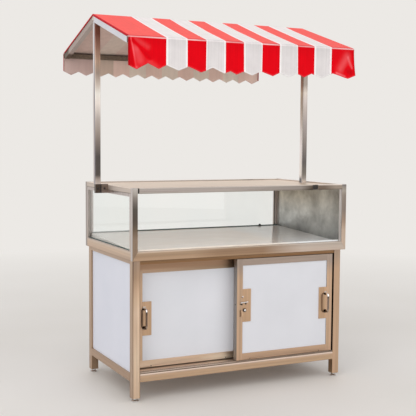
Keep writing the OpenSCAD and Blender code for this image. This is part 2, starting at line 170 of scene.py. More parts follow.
def tone(tree, spec):
    """A colour from its description: a hex value, ("across", axis, low, high, stops) for bands on a member,
    ("blend", axis, low, high, first, second) from one to the other along an axis, or ("facing", axis, other,
    this) for a colour of its own on the faces that look along an axis."""
    if isinstance(spec, str):
        return linear(spec)
    if spec[0] == "across":
        return add(tree, "ValToRGB", {"Fac": span(tree, *spec[1:4])}, spec[4])
    if spec[0] == "blend":
        share = span(tree, *spec[1:4])
    else:
        turned_to = add(tree, "Math", {0: place(tree, spec[1], "Normal")}, operation="ABSOLUTE")
        share = add(tree, "Math", {0: turned_to, 1: 0.7}, operation="GREATER_THAN")
    return layered(tree, tone(tree, spec[-2]), (share, tone(tree, spec[-1])))


# The part of its range that noise fills
NOISE = (0.3, 0.7)


def shaded(tree, colour, *parts):
    """A colour made lighter and darker by patterns, each given as (pattern, lowest share, highest share)."""
    share = None
    for drawn, low, high in parts:
        value = span(tree, drawn, *NOISE, low, high)
        share = value if share is None else add(tree, "Math", {0: share, 1: value}, operation="MULTIPLY")
    grey = add(tree, "CombineColor", {"Red": share, "Green": share, "Blue": share})
    return add(tree, "Mix", {"Factor": 1.0, "A": colour, "B": grey}, data_type="RGBA", blend_type="MULTIPLY")


LINES = {"x": (320, 5, 5), "y": (5, 320, 5), "z": (5, 5, 320)}
BELTS = {"x": (1100, 13, 13), "y": (13, 1100, 13), "z": (13, 13, 1100)}


def brushed_steel(name, along, spec, rough=0.36, depth=0.07):
    """Brushed stainless steel: the belt leaves fine lines along the tube, and broad soft bands side by side.
    The real lines are 0.2 mm apart, drawn 5 mm apart so that they show. The description gives its tones,
    mostly painted reflections, highlights and shade over a warm tan that is itself a painted reflection."""
    made, tree, shader = finish(name, Metallic=1.0)
    lines, belts = pattern(tree, LINES[along], 3.0, Roughness=0.6), pattern(tree, BELTS[along], 1.0)
    feed(tree, shader, {
        "Base Color": shaded(tree, tone(tree, spec), (lines, 1 - depth, 1 + depth),
                             (belts, 1 - 1.3 * depth, 1 + 1.3 * depth)),
        "Roughness": span(tree, lines, *NOISE, rough - 0.05, rough + 0.07),
        "Normal": add(tree, "Bump", {"Height": lines, "Strength": 0.25, "Distance": 0.05 * MM})})
    return made


def bare_tube():
    """Bright rolled tube of the gable frame, unbrushed: even and pale with faint draw lines. The back rafters
    are painted darker, as shade, and their foot is painted the eave tube's dark tone."""
    made, tree, shader = finish("bright_rolled_tube", Metallic=0.85, Roughness=0.4)
    cloud, drawn = pattern(tree, (160, 160, 160), 2.0), pattern(tree, (7, 300, 7), 1.0)
    # Painted shade on the back rafters, darkest at their foot
    spec = ("blend", "y", 350, 362, "#E4E5EE", ("blend", "y", 756, 776, "#B4A69F", "#65584C"))
    colour = shaded(tree, tone(tree, spec), (cloud, 0.96, 1.03), (drawn, 0.98, 1.02))
    feed(tree, shader, {"Base Color": colour})
    return made


def powder_coat(name, low, high, lighter=1.0):
    """White powder-coated sheet: a faint orange-peel surface, drawn 3 mm wide, and hardly any change of tone.
    The last value paints light onto its right part, to lift the shade there: how much lighter it is to the
    right."""
    made, tree, shader = finish(name, Roughness=0.45)
    peel, cloud = pattern(tree, (3, 3, 3), 2.0), pattern(tree, (240, 240, 240), 3.0)
    base = add(tree, "ValToRGB", {"Fac": cloud}, [(0.3, low), (0.7, high)])
    feed(tree, shader, {
        "Base Color": shaded(tree, base, (span(tree, "x", 300, 560), 1.0, lighter)),
        "Normal": add(tree, "Bump", {"Height": peel, "Strength": 0.12, "Distance": 0.1 * MM})})
    return made


def gloss_enamel():
    """White enamelled sheet under a hard gloss that mirrors the case's end, slightly uneven from wiping.
    Towards the right end its colour turns bluer and whiter, a painted reflection.
    """
    made, tree, shader = finish("gloss_enamelled_sheet")
    cloud, wipes = pattern(tree, (420, 120, 120), 2.0), pattern(tree, (110, 30, 30), 3.0, Distortion=0.5)
    warm = add(tree, "ValToRGB", {"Fac": cloud}, [(0.3, "#FDF2E6"), (0.7, "#FFF8EF")])
    # Bluer and whiter to the right: painted reflection
    colour = layered(tree, warm, (span(tree, "x", 820, 960), linear("#F9FDFF")))
    feed(tree, shader, {"Base Color": shaded(tree, colour, (wipes, 0.985, 1.015)),
                        "Roughness": span(tree, wipes, *NOISE, 0.08, 0.15)})
    return made


def polished_sheet():
    """Polished stainless sheet of the shelf: a dulled mirror with long wiping marks."""
    made, tree, shader = finish("polished_stainless", Metallic=1.0)
    wipes = pattern(tree, (260, 60, 60), 3.0, Distortion=0.4)
    colour = add(tree, "ValToRGB", {"Fac": wipes}, [(0.35, "#E9D4C1"), (0.65, "#F4E1D0")])
    feed(tree, shader, {"Base Color": colour, "Roughness": span(tree, wipes, *NOISE, 0.32, 0.42)})
    return made


def stained_sheet():
    """Dull stainless sheet, mottled by washing: soft cloudy patches and small water spots. Its foot is
    painted darker, as shade and reflection.
    """
    made, tree, shader = finish("washed_dull_stainless", Metallic=1.0)
    patches = pattern(tree, (130, 130, 130), 5.0, Roughness=0.55, Distortion=0.3)
    spots = pattern(tree, (22, 22, 22), 2.0)
    # Painted shade and reflection at the foot
    base = tone(tree, ("across", "z", 745, 1019, [(0, "#8A8A88"), (0.16, "#B7B7B5"), (0.4, "#D0CEC9"),
                                                  (0.75, "#B6AC9D"), (1, "#A89C8A")]))
    cooler = layered(tree, base, (span(tree, "y", 420, 60, 0.0, 0.45), linear("#B9BAB7")))
    feed(tree, shader, {"Base Color": shaded(tree, cooler, (patches, 0.72, 1.2), (spots, 0.93, 1.05)),
                        "Roughness": span(tree, patches, *NOISE, 0.5, 0.34)})
    return made


def chrome():
    """Chromium plate: near-mirror, with a little haze from handling."""
    made, tree, shader = finish("chromium_plate", Metallic=1.0)
    haze = pattern(tree, (12, 12, 12), 3.0)
    colour = add(tree, "ValToRGB", {"Fac": haze}, [(0.3, "#BDB8B4"), (0.7, "#E6E5E6")])
    feed(tree, shader, {"Base Color": colour, "Roughness": span(tree, haze, 0.35, 0.7, 0.07, 0.2)})
    return made


def handle_chrome(name, low, high, grip_reflection):
    """Chromium plate of a bent rod, with painted light and shade: a bright painted glint in its upper bend, a
    brownish painted reflection down the grip, and painted dark shade on each leg."""
    grip = ("across", "z", low.z, high.z, [
        (0, "#57483C"), (0.08, "#4A3C30"), (0.13, "#C9B6A4"), (0.24, grip_reflection), (0.66, grip_reflection),
        (0.78, "#5E5550"), (0.84, "#FFFFFF"), (0.94, "#F4F1F0"), (1, "#C9C2BC")])
    leg = ("across", "z", low.z, high.z, [
        (0, "#9A8878"), (0.07, "#3B2C21"), (0.5, "#4A3A2E"), (0.9, "#2F231B"), (0.95, "#BDB2A9"),
        (1, "#E9E4E0")])
    made, tree, shader = finish(name, Metallic=1.0)
    haze = pattern(tree, (12, 12, 12), 3.0)
    colour = tone(tree, ("blend", "y", low.y + 16, low.y + 22, grip, leg))
    feed(tree, shader, {"Base Color": shaded(tree, colour, (haze, 0.92, 1.08)),
                        "Roughness": span(tree, haze, 0.35, 0.7, 0.1, 0.22)})
    return made


def dull_dark(name, base, worn_light, rough):
    """A dark surface, a little lighter where hands and tools have rubbed it."""
    made, tree, shader = finish(name, Roughness=rough, Specular_IOR_Level=0.3)
    wear_and_highlight_patches = pattern(tree, (8, 8, 8), 4.0)
    colour = add(tree, "ValToRGB", {"Fac": wear_and_highlight_patches}, [(0.42, base), (0.72, worn_light)])
    bump = add(tree, "Bump", {"Height": wear_and_highlight_patches, "Strength": 0.2, "Distance": 0.1 * MM})
    feed(tree, shader, {"Base Color": colour, "Normal": bump})
    return made


def float_glass():
    """Clear float glass: all but colourless through the pane, faintly tinted; the sea green that light shows
    along a real pane's edge is not drawn.
    """
    made, tree, shader = finish("clear_float_glass", IOR=1.52, Transmission_Weight=1.0, Roughness=0.0)
    dust = pattern(tree, (300, 300, 300), 1.0)
    colour = add(tree, "ValToRGB", {"Fac": dust}, [(0.3, "#F8FCFC"), (0.7, "#FCFEFD")])
    feed(tree, shader, {"Base Color": colour})
    return made


# The steel's tones by place: bands across a member or along it, as (share of the span, colour). Most are
# painted light: reflections, highlights and shade as they fall on each member.
LEG_Z, RAIL_Z, TOP_Z = ("z", 17, 693), ("z", 693, 737), ("z", 1019, 1046)
MAST_Z, MAST_Y = ("z", 1040, 1875), ("y", 340.5, 370.5)
# Where tones change over from the left members to the right ones, and from the front to the back
LEFT_RIGHT, FRONT_BACK = ("x", 600, 601), ("y", 600, 601)
# A plain warm tan, a painted reflection of warm surroundings
WARM = "#BDA189"
LEG_SIDE = ("across", "y", 0, 40, [
    (0, "#A28A76"), (0.2, "#C2A994"), (0.5, "#D0B8A2"), (0.75, "#BDA28C"), (1, "#B89D87")])
LEG_HEIGHTS = ("across", *LEG_Z, [
    (0, "#DBC1A8"), (0.1, "#DFC5AC"), (0.3, "#E3CCB3"), (0.5, "#DCC1A8"), (0.63, "#E1C7AF"),
    (0.72, "#D8BDA2"), (0.79, "#CCAE94"), (0.88, "#B2967E"), (1, "#A18B7A")])
CORNER_HEIGHTS = ("across", *LEG_Z, [
    (0, "#BDA490"), (0.3, "#BAA18F"), (0.62, "#AC937E"), (0.79, "#947968"), (0.88, "#7E6758"),
    (1, "#6F5D51")])
RIGHT_LEG_HEIGHTS = ("across", *LEG_Z, [
    (0, "#C9AA8F"), (0.5, "#C7A88D"), (0.85, "#C4A48A"), (0.95, "#B09986"), (1, "#A99281")])
FRONT_LEFT_LEG = ("facing", "y", LEG_SIDE, ("blend", "x", 4, 7, CORNER_HEIGHTS,
                                            ("blend", "x", 33, 39, LEG_HEIGHTS, "#A98C74")))
# The right leg's inner face is painted near black above the bottom rail, as shade
FRONT_RIGHT_LEG = ("facing", "y", ("blend", "x", 1180, 1181, (
    "blend", "z", 134, 138, "#A98A6C", "#1A130F"), "#C3AA95"), RIGHT_LEG_HEIGHTS)
BACK_LEFT_LEG = ("facing", "y", ("across", "y", 596, 660, [
    (0, "#8C7D70"), (0.36, "#8A7A6D"), (0.42, "#C3AA95"), (0.7, "#BFA48E"), (1, "#B39C89")]),
    "#A58B74")
BOTTOM_RAIL = ("facing", "y", "#EEDCCE", ("across", "z", 96, 136, [
    (0, "#AD8C71"), (0.12, "#C8AC8F"), (0.7, "#CCAD91"), (0.86, "#D5BFAD"), (0.94, "#EFDBCF"),
    (1, "#F4E3D8")]))
DECK_BANDS = ("across", *RAIL_Z, [
    (0, "#A6896E"), (0.12, "#BB9E85"), (0.28, "#B69980"), (0.4, "#AE9279"), (0.8, "#A89079"),
    (0.92, "#C4AF9C"), (1, "#D1C0B2")])
DECK_BANDS_DARK = ("across", *RAIL_Z, [
    (0, "#95785E"), (0.15, "#A98C72"), (0.32, "#9A7E67"), (0.7, "#987D66"), (0.88, "#A38C77"),
    (1, "#CFBEAD")])
DECK_BANDS_RIGHT = ("across", *RAIL_Z, [
    (0, "#BBA999"), (0.15, "#CAB8AB"), (0.5, "#C4B6AA"), (0.82, "#BCAEA3"), (0.93, "#C9BEB4"),
    (1, "#DBD0C5")])
DECK_RAIL = ("facing", "y", "#CBBBAC", ("blend", "x", 720, 960, (
    "blend", "x", 320, 460, DECK_BANDS, DECK_BANDS_DARK), DECK_BANDS_RIGHT))
SIDE_RAIL = ("facing", "x", "#D8C8BA", ("across", "z", 678, 737, [
    (0, "#B89F8C"), (0.22, "#C8B09C"), (0.27, "#B59C88"), (0.34, "#CDB39E"), (0.8, "#D2BBA6"),
    (1, "#E0CFC2")]))
# The header under the deck rail is painted dark as shade, darkest just under the rail
HEADER = ("facing", "y", "#9F846D", ("across", "z", 653, 693, [
    (0, "#816449"), (0.25, "#846749"), (0.34, "#8C6D51"), (0.45, "#866546"), (0.78, "#89694D"),
    (0.88, "#8E7054"), (0.95, "#7A5F48"), (1, "#785D45")]))
# The track and cabinet floor: a painted highlight along the front edge and a band of painted shade under the
# rear door
TRACK = ("facing", "z", "#96877A", ("across", "y", 20, 200, [
    (0, "#F2E6DE"), (0.075, "#DCCBC0"), (0.25, "#BAA799"), (0.4, "#8C7A6C"), (0.5, "#776658"),
    (0.6, "#D6C8BC"), (1, "#E2D6CC")]))
POST_SIDE = ("across", "y", 0, 27, [(0, "#AFA6A2"), (0.25, "#C0B8B5"), (0.5, "#DBD4D2"), (1, "#CCC2BE")])
LEFT_POST = ("across", "z", 693, 1046, [
    (0, "#96806C"), (0.29, "#94806F"), (0.41, "#766657"), (0.5, "#635950"), (0.57, "#5B524B"),
    (0.71, "#5B5650"), (0.785, "#716A65"), (0.87, "#8D857F"), (0.92, "#A9A29B"), (1, "#BDB7B2")])
RIGHT_POST = ("across", "z", 737, 1046, [
    (0, "#C2AD9C"), (0.2, "#BAA594"), (0.36, "#9E8979"), (0.55, "#857971"), (0.8, "#8C8178"),
    (0.89, "#9F988E"), (0.965, "#89827C"), (0.985, "#726D6A"), (1, "#AFABA8")])
BACK_LEFT_POST = ("across", "x", 0, 27, [
    (0, "#BBABA2"), (0.22, "#6E625C"), (0.42, "#DCCBBF"), (0.58, "#4E4744"), (0.78, "#474443"),
    (0.9, "#8FA3A6"), (1, "#A8BCC0")])
BACK_RIGHT_POST = ("across", "x", 1189, 1231, [
    (0, "#A49A92"), (0.12, "#645A53"), (0.3, "#564C45"), (0.42, "#8A7F76"), (0.56, "#4A423D"),
    (0.75, "#6B625B"), (1, "#7B736C")])
CASE_POSTS = ("facing", "y", ("blend", *FRONT_BACK, POST_SIDE, "#A79D98"),
              ("blend", *FRONT_BACK, ("blend", *LEFT_RIGHT, LEFT_POST, RIGHT_POST),
               ("blend", *LEFT_RIGHT, BACK_LEFT_POST, BACK_RIGHT_POST)))
TOP_LEFT = ("across", *TOP_Z, [
    (0, "#88827C"), (0.12, "#A79E97"), (0.5, "#B0A5A0"), (0.82, "#A59D98"), (0.9, "#C2B8B2"),
    (1, "#D4CAC2")])
TOP_MIDDLE = ("across", *TOP_Z, [
    (0, "#716962"), (0.14, "#7E766E"), (0.5, "#908882"), (0.82, "#88817A"), (0.9, "#BDB2A9"),
    (1, "#D8CEC4")])
BY_JOINT = ("across", *TOP_Z, [
    (0, "#423B36"), (0.5, "#594E43"), (0.82, "#645951"), (0.92, "#A4988F"), (1, "#D8CEC4")])
PAST_JOINT = ("across", *TOP_Z, [
    (0, "#60554B"), (0.14, "#6D6056"), (0.5, "#74665B"), (0.82, "#77695F"), (0.92, "#C2B6AD"),
    (1, "#F8F0E9")])
TOP_RIGHT = ("across", *TOP_Z, [
    (0, "#7A7068"), (0.14, "#8E8378"), (0.5, "#9A8D80"), (0.82, "#9E9287"), (0.92, "#DDD2CA"),
    (1, "#FFF9F4")])
TO_JOINT = ("blend", "x", 945, 1014, ("blend", "x", 500, 1000, TOP_LEFT, TOP_MIDDLE), BY_JOINT)
TOP_RAIL = ("facing", "y", ("blend", *FRONT_BACK, "#DDD2C6", "#F8F5F3"), (
    "blend", "x", 1033, 1035, TO_JOINT, ("blend", "x", 1090, 1165, PAST_JOINT, TOP_RIGHT)))
TOP_SIDE = ("facing", "x", ("blend", *LEFT_RIGHT, "#EFE3D8", "#FFFDFC"), ("across", *TOP_Z, [
    (0, "#9A8F87"), (0.1, "#B5AAA2"), (0.16, "#D8CDC4"), (0.6, "#DCD1C9"), (0.86, "#D2C6BC"),
    (0.93, "#EFE5DD"), (1, "#F2E9E2")]))
BEADS = ("facing", "x", "#A9A09B", ("blend", "z", 760, 900, "#C2B3A9", "#C4BAB7"))
# The masts' tones are painted reflections and highlights, with painted shade under the canopy and, on the
# right mast's side, a painted shadow at its foot
LEFT_MAST_FRONT = ("across", "z", 1051, 1875, [
    (0, "#C6BAB3"), (0.03, "#A69A93"), (0.055, "#5D5753"), (0.17, "#5B5553"), (0.27, "#8D827C"),
    (0.33, "#A89C94"), (0.4, "#BFB4AE"), (0.5, "#F7EEE7"), (0.555, "#FFFCF5"), (0.61, "#E8DDD3"),
    (0.68, "#C9B8AC"), (0.75, "#ECD0BA"), (0.84, "#C79E8C"), (0.92, "#936254"), (1, "#835947")])
RIGHT_MAST_FRONT = ("across", *MAST_Z, [
    (0, "#D6CCC4"), (0.03, "#99918A"), (0.06, "#7D776F"), (0.14, "#686361"), (0.27, "#8E8580"),
    (0.4, "#A79E9B"), (0.5, "#BEB4AE"), (0.555, "#CDC3BF"), (0.605, "#D8CEC5"), (0.66, "#A89D95"),
    (1, "#988980")])
LEFT_MAST_SIDE = ("across", *MAST_Y, [(0, "#908D96"), (0.35, "#9D99A3"), (0.5, "#D6CDCB"), (1, "#DAD0CC")])
LEFT_MAST_SIDE_TOP = ("across", *MAST_Y, [
    (0, "#A8A0A4"), (0.35, "#B8AFB3"), (0.5, "#F0F0F3"), (1, "#EDEBEE")])
RIGHT_MAST_SIDE = ("across", *MAST_Z, [
    (0, "#8E8D90"), (0.022, "#8A898D"), (0.034, "#D0CCCB"), (0.05, "#FFFBF7"), (0.14, "#FDF5EF"),
    (0.234, "#FCF3F2"), (0.347, "#E9DFDB"), (0.411, "#D3C4BA"), (0.545, "#B6A393"), (0.605, "#C6B29B"),
    (0.653, "#AB8878"), (1, "#9A7A66")])
RIGHT_MAST_EDGE = ("across", *MAST_Z, [
    (0, "#BFBFC1"), (0.234, "#C5C2C1"), (0.395, "#BDB7AA"), (0.505, "#ACA197"), (0.605, "#B4A19B"),
    (0.67, "#A2836A"), (1, "#8A6E58")])
MASTS = ("facing", "y", ("blend", *LEFT_RIGHT, ("blend", "z", 1500, 1660, LEFT_MAST_SIDE, LEFT_MAST_SIDE_TOP),
                         ("blend", "y", 345, 346.5, RIGHT_MAST_EDGE, RIGHT_MAST_SIDE)),
         ("blend", *LEFT_RIGHT, LEFT_MAST_FRONT, RIGHT_MAST_FRONT))
# The bracket's left clamp is painted darker than its right, as reflection
BRACKET = ("blend", "x", -41, -40, "#534840", "#7B6E66")

enamel, shelf_sheet, end_steel, plated = gloss_enamel(), polished_sheet(), stained_sheet(), chrome()
bright_tube, clear_glass = bare_tube(), float_glass()
dark_nylon = dull_dark("black_nylon", "#232120", "#302D2C", 0.6)
# The eave tubes' dark olive-brown is partly their own colour and partly painted shade, the tube as it looks
# in shadow under the canopy
dark_tube = dull_dark("dark_tube_with_painted_shade", "#65584C", "#7A6A5B", 0.6)
# Blackened steel, also used to paint small shadows on the lock and in the bracket's gap
blackened_and_shadow = dull_dark("blackened_steel_and_shadow_paint", "#262220", "#3F3935", 0.45)
# Two dark browns that paint the shadows of the handles and the key tongue
dark_brown_shadow = dull_dark("painted_dark_brown_shadow", "#40291B", "#5A4029", 0.5)
brown_shadow = dull_dark("painted_brown_shadow", "#694D36", "#7E6349", 0.5)
tongue_steel = brushed_steel("brushed_stainless_tongue", "z", "#D8B898", rough=0.3)
seal_rubber = dull_dark("grey_green_seal_rubber", "#46605F", "#5B7674", 0.5)
black_rubber = dull_dark("black_seal_rubber", "#2A3132", "#3A4243", 0.5)

# Width of the door frames' tubes
DOOR_TUBE = 34


def door_steel(name, low, high, foot, head):
    """The brushed steel of a door frame: lines along its rails and up its stiles. Its side is painted greyer
    and darker, as shade; foot and head take the tones given.
    """
    front = ("blend", "z", 560, 640, ("blend", "z", 160, 190, foot, "#C6A88E"), head)
    spec = ("facing", "x", front, "#9A948F")
    made = brushed_steel(name, "x", spec, rough=0.45, depth=0.08)
    tree = made.node_tree
    from_middle = add(tree, "Math", {0: place(tree, "x"), 1: (low + high) / 2}, operation="SUBTRACT")
    off = add(tree, "Math", {0: from_middle}, operation="ABSOLUTE")
    on_stile = add(tree, "Math", {0: off, 1: (high - low) / 2 - DOOR_TUBE * MM}, operation="GREATER_THAN")
    for mapping in [n for n in tree.nodes if n.type == "MAPPING"]:
        size = mapping.inputs["Scale"].default_value
        upright = add(tree, "Mapping", {"Vector": mapping.inputs["Vector"].links[0].from_socket,
                                        "Scale": (size[2], size[1], size[0])})
        either = add(tree, "Mix", {"Factor": on_stile, "A": mapping, "B": upright}, data_type="VECTOR")
        for link in list(mapping.outputs[0].links):
            if link.to_node != either:
                tree.links.new(either.outputs[1], link.to_socket)
    return made


# Finishes on the CAD nodes
def dress(names, material, bevel=0.0):
    """Gives CAD nodes a finish, and softens their edges as a deburred edge is."""
    for name in names.split():
        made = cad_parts[name]
        made.data.materials.clear()
        made.data.materials.append(material)
        if bevel:
            weld = made.modifiers.new("weld", "WELD")
            weld.merge_threshold = 0.01 * MM
            soft = made.modifiers.new("deburred", "BEVEL")
            soft.width, soft.segments = bevel * MM, 2
            soft.limit_method, soft.angle_limit = "ANGLE", math.radians(40)


# One brushed steel for each member, each with its own painted reflections and shade
for names, steel, along, spec, bevel, rough, depth in (
        ("front_left_leg", "front_left_leg", "z", FRONT_LEFT_LEG, 0, 0.36, 0.06),
        ("front_right_leg", "front_right_leg", "z", FRONT_RIGHT_LEG, 0, 0.36, 0.06),
        ("back_left_leg", "back_left_leg", "z", BACK_LEFT_LEG, 0, 0.36, 0.07),
        ("back_right_leg", "leg", "z", WARM, 0, 0.36, 0.07),
        ("front_bottom_rail back_bottom_rail", "bottom_rail", "x", BOTTOM_RAIL, 0, 0.36, 0.07),
        ("cabinet_floor bottom_track", "track", "x", TRACK, 0, 0.45, 0.07),
        ("top_track", "header", "x", HEADER, 0, 0.36, 0.07),
        ("side_bottom_rails", "side_rail", "y", WARM, 0, 0.36, 0.07),
        ("cabinet_top_rails deck_side_rails", "deck_side", "y", SIDE_RAIL, 0.6, 0.36, 0.07),
        ("deck_long_rails", "deck_rail", "x", DECK_RAIL, 0.8, 0.36, 0.07),
        ("left_door_plate right_door_plates", "door_plate", "z", "#C6A587", 0.6, 0.36, 0.07),
        ("case_posts", "case_post", "z", CASE_POSTS, 0.8, 0.3, 0.06),
        ("canopy_posts", "canopy_post", "z", MASTS, 0, 0.42, 0.06),
        ("top_front_rail top_back_rail ridge_tube", "top_rail", "x", TOP_RAIL, 0, 0.3, 0.07),
        ("top_side_rails", "top_side", "y", TOP_SIDE, 0, 0.6, 0.07),
        ("right_post_foot", "foot_plate", "y", "#CFC6BE", 0.6, 0.3, 0.07),
        ("glazing_beads", "beads", "z", BEADS, 0, 0.3, 0.07)):
    dress(names, brushed_steel("brushed_stainless_" + steel, along, spec, rough, depth), bevel)
dress("rafters", bright_tube)
dress("eave_tubes", dark_tube)
dress("top_rail_joint", blackened_and_shadow)
dress("left_post_bracket", brushed_steel("blackened_stainless_bracket", "x", BRACKET, rough=0.3))
dress("left_door_rollers right_door_rollers", dark_nylon)
dress("side_panels back_panel", powder_coat("powder_coated_case_sheet", "#DDE0EC", "#E3E5F0"), 0.5)
# The left door's sheet is painted lighter to the right, where the front door's shade falls
dress("left_door_panel", powder_coat("powder_coated_left_door_sheet", "#DBDDE3", "#E0E1E7", 1.05), 0.5)
dress("right_door_panel", powder_coat("powder_coated_right_door_sheet", "#DADBE1", "#DFE0E6"), 0.5)
dress("display_deck", enamel, 0.6)
dress("top_shelf", shelf_sheet, 0.6)
dress("end_sheet", end_steel)
dress("levelling_feet door_lock", plated)
for name, grip_reflection in (("left_door_handle", "#7E6B5E"), ("right_door_handle", "#8B7C72")):
    low, high = stall_box(name)
    dress(name, handle_chrome(name.replace("door_handle", "handle_chromium"), low, high, grip_reflection))
dress("left_glass back_glass", clear_glass)
# The doors' feet and heads: painted light on the left door's foot, more of it to the right where the front
# door shades it, and painted shade on both heads, on the left one darker to the right and at the top
LEFT_FOOT = ("blend", "x", 380, 540, "#E6CFB8", "#FFF0DA")
LEFT_HEAD = ("blend", "z", 628, 644, ("blend", "x", 150, 450, "#B49A84", "#A18972"), "#A6866D")
for door, foot, head in (("left_door", LEFT_FOOT, LEFT_HEAD), ("right_door", "#C2A38A", "#A5958A")):
    low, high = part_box(door + "_frame")
    dress(door + "_frame", door_steel(door + "_brushed_stainless", low.x, high.x, foot, head), 0.8)


# Canopy cloth
EAVE_Z, RIDGE_RISE, FRONT, BACK = 1751.0, 156.0, -149.0, 860.0
LEFT, RIGHT = (corner.x for corner in stall_box("cover_front"))
RIDGE_Y = (FRONT + BACK) / 2
# Round of the folds at the eaves and the ridge, the cloth's thickness, and the valances' hem
FOLD_R, RIDGE_R, CLOTH_T, HEM = 6.0, 12.0, 1.2, 20.0
# Ends turned down over the rafters: their depth, where the turn starts, and how they narrow towards the ridge
LIP, TURN, NARROW_LIP, NARROWING = 9.0, 3.0, 2.5, (45, 25)
# Rows of the mesh on each slope and the front valance, on the back valance, and round the folds
ROWS, BACK_ROWS, FOLD_ROWS, RIDGE_ROWS = 26, 13, 5, 4
# Columns of the mesh: least and usual width, and the finer one within reach of the creased ends
LEAST_COLUMN, COLUMN, FINE_COLUMN, CREASED_END = 2.0, 11.0, 4.5, 130
EAVE_STRIPES = [LEFT, 108, 213, 311, 414, 516, 617, 717, 820, 917, 1017, RIGHT]
RIDGE_STRIPES = [LEFT, 128, 238, 342, 446, 545, 647, 742, 845, 936, 1044, RIGHT]
FRONT_EDGE = [
    (LEFT, 1616), (-40, 1599), (17, 1629), (73, 1605), (111, 1624), (171, 1601), (223, 1622), (287, 1597),
    (311, 1605), (352, 1622), (412, 1597), (445, 1609), (478, 1594), (514, 1609), (562, 1593), (613, 1615),
    (680, 1594), (720, 1612), (770, 1592), (814, 1612), (859, 1594), (904, 1614), (965, 1594), (1030, 1620),
    (1114, 1596), (RIGHT, 1613)]
# The back valance's points: how many, the heights of notch and tip at the left, and their fall to the right
BACK_TIPS, BACK_NOTCH_Z, BACK_TIP_Z, BACK_FALL = 14, 1654, 1633, 14
SEAM = 7.0
# The line of the crease at the front valance's left end
CREASE_X, CREASE_Z = (-43, -47, -54, -59, -67), (1606, 1632, 1677, 1703, 1739)
# Painted highlights along creases (amount above 0) and painted shade where the cloth lies folded away from
# the light (below 0): ends, width, amount
MARKS = [
    ((-50, 1712), (-38, 1690), 12, 0.15), ((-42, 1690), (-22, 1642), 22, 0.34),
    ((-58, 1730), (27, 1653), 8, -0.3), ((-45, 1738), (17, 1703), 12, 0.2),
    ((-39, 1608), (-37, 1604), 6, 0.6), ((27, 1635), (60, 1612), 14, 0.2),
    ((1116, 1708), (1075, 1645), 20, 0.42), ((1122, 1704), (1142, 1650), 6, 0.6),
    ((1124, 1634), (1130, 1628), 15, -0.6), ((1050, 1622), (1097, 1606), 6, 0.9),
    ((1158, 1740), (1160, 1620), 8, -0.4), ((1120, 1598), (1150, 1608), 4, 0.4)]
# Height and length of the cloth's gentle waves, and how far the slopes sag
SLOPE_WAVES, FRONT_WAVES, BACK_WAVES = ((0.5, 61), (0.4, 27)), ((2.6, 47), (1.4, 21)), ((2.4, 52), (1.2, 23))
SAG = 2.4
# Along the left crease: painted highlight at its foot and more of it above, half width, and the painted shade
# to its left
CREASE_HIGHLIGHT, CREASE_HIGHLIGHT_GAIN, CREASE_WIDE, CREASE_SHADE = 0.3, 0.35, 3.0, 0.45
# How far the front valance stands off: by the left crease, with its reach right and left, and at the right
CREASE_LIFT, CREASE_REACH, RIGHT_LIFT = 6.0, (32.0, 12.0), 15.0
# Tips of the front valance that curl outward: x, half width, share of the drop where it starts, distance
CURLS = ((60, 40, 0.8, 4.0), (1074, 34, 0.86, 5.0))


def back_edge():
    """The back valance's points, evenly spaced."""
    pitch = (RIGHT - LEFT) / BACK_TIPS
    points = []
    for i in range(BACK_TIPS):
        x = LEFT + i * pitch
        fall = BACK_FALL * i / BACK_TIPS
        points += [(x, BACK_NOTCH_Z - fall), (x + pitch / 2, BACK_TIP_Z - fall)]
    return points + [(RIGHT, BACK_NOTCH_Z - BACK_FALL)]


def fillet(corner, into, out, radius, count):
    """Points of a round fold at a corner between two directions in the YZ plane."""
    turn = math.acos(max(-1.0, min(1.0, into.dot(out))))
    reach = radius * math.tan(turn / 2)
    start, end = corner - into * reach, corner + out * reach
    middle = corner + (out - into).normalized() * radius / math.cos(turn / 2)
    points = []
    for i in range(count + 1):
        angle = turn * i / count
        turned_by = (start - middle) * math.sin(turn - angle) + (end - middle) * math.sin(angle)
        points.append(middle + turned_by / math.sin(turn))
    return points


def cloth_columns():
    """Positions of the cloth's columns at the front eave: stripe edges, seams and the valances' points have
    their own, and the creased ends have the most."""
    fixed = set(EAVE_STRIPES) | {x for x, _ in FRONT_EDGE} | {x for x, _ in back_edge()}
    for i in range(1, len(EAVE_STRIPES) - 1):
        fixed.add(EAVE_STRIPES[i] + (SEAM if i % 2 else -SEAM))
    fixed |= {LEFT + TURN, LEFT + LIP, RIGHT - LIP, RIGHT - TURN}
    kept = []
    for x in sorted(fixed):
        if kept and x - kept[-1] < LEAST_COLUMN:
            if x in EAVE_STRIPES:
                kept[-1] = x
            continue
        kept.append(x)
    columns = []
    for a, b in zip(kept, kept[1:]):
        pitch = FINE_COLUMN if a < LEFT + CREASED_END or b > RIGHT - CREASED_END else COLUMN
        steps = max(1, math.ceil((b - a) / pitch))
        columns += [a + (b - a) * k / steps for k in range(steps)]
    return columns + [kept[-1]]


def smooth(a, b, x):
    """0 to 1 as x goes from a to b, with an easy start and end."""
    t = max(0.0, min(1.0, (x - a) / (b - a)))
    return t * t * (3 - 2 * t)


def gap_to(x, z, a, b):
    """Distance on the valance from a point to a line between two others."""
    run = (b[0] - a[0], b[1] - a[1])
    t = ((x - a[0]) * run[0] + (z - a[1]) * run[1]) / (run[0] ** 2 + run[1] ** 2)
    t = max(0.0, min(1.0, t))
    return math.hypot(x - a[0] - t * run[0], z - a[1] - t * run[1])


def off_crease(x, z):
    """How far right of the crease at the left end a point of the front valance lies."""
    return x - float(np.interp(z, CREASE_Z, CREASE_X))


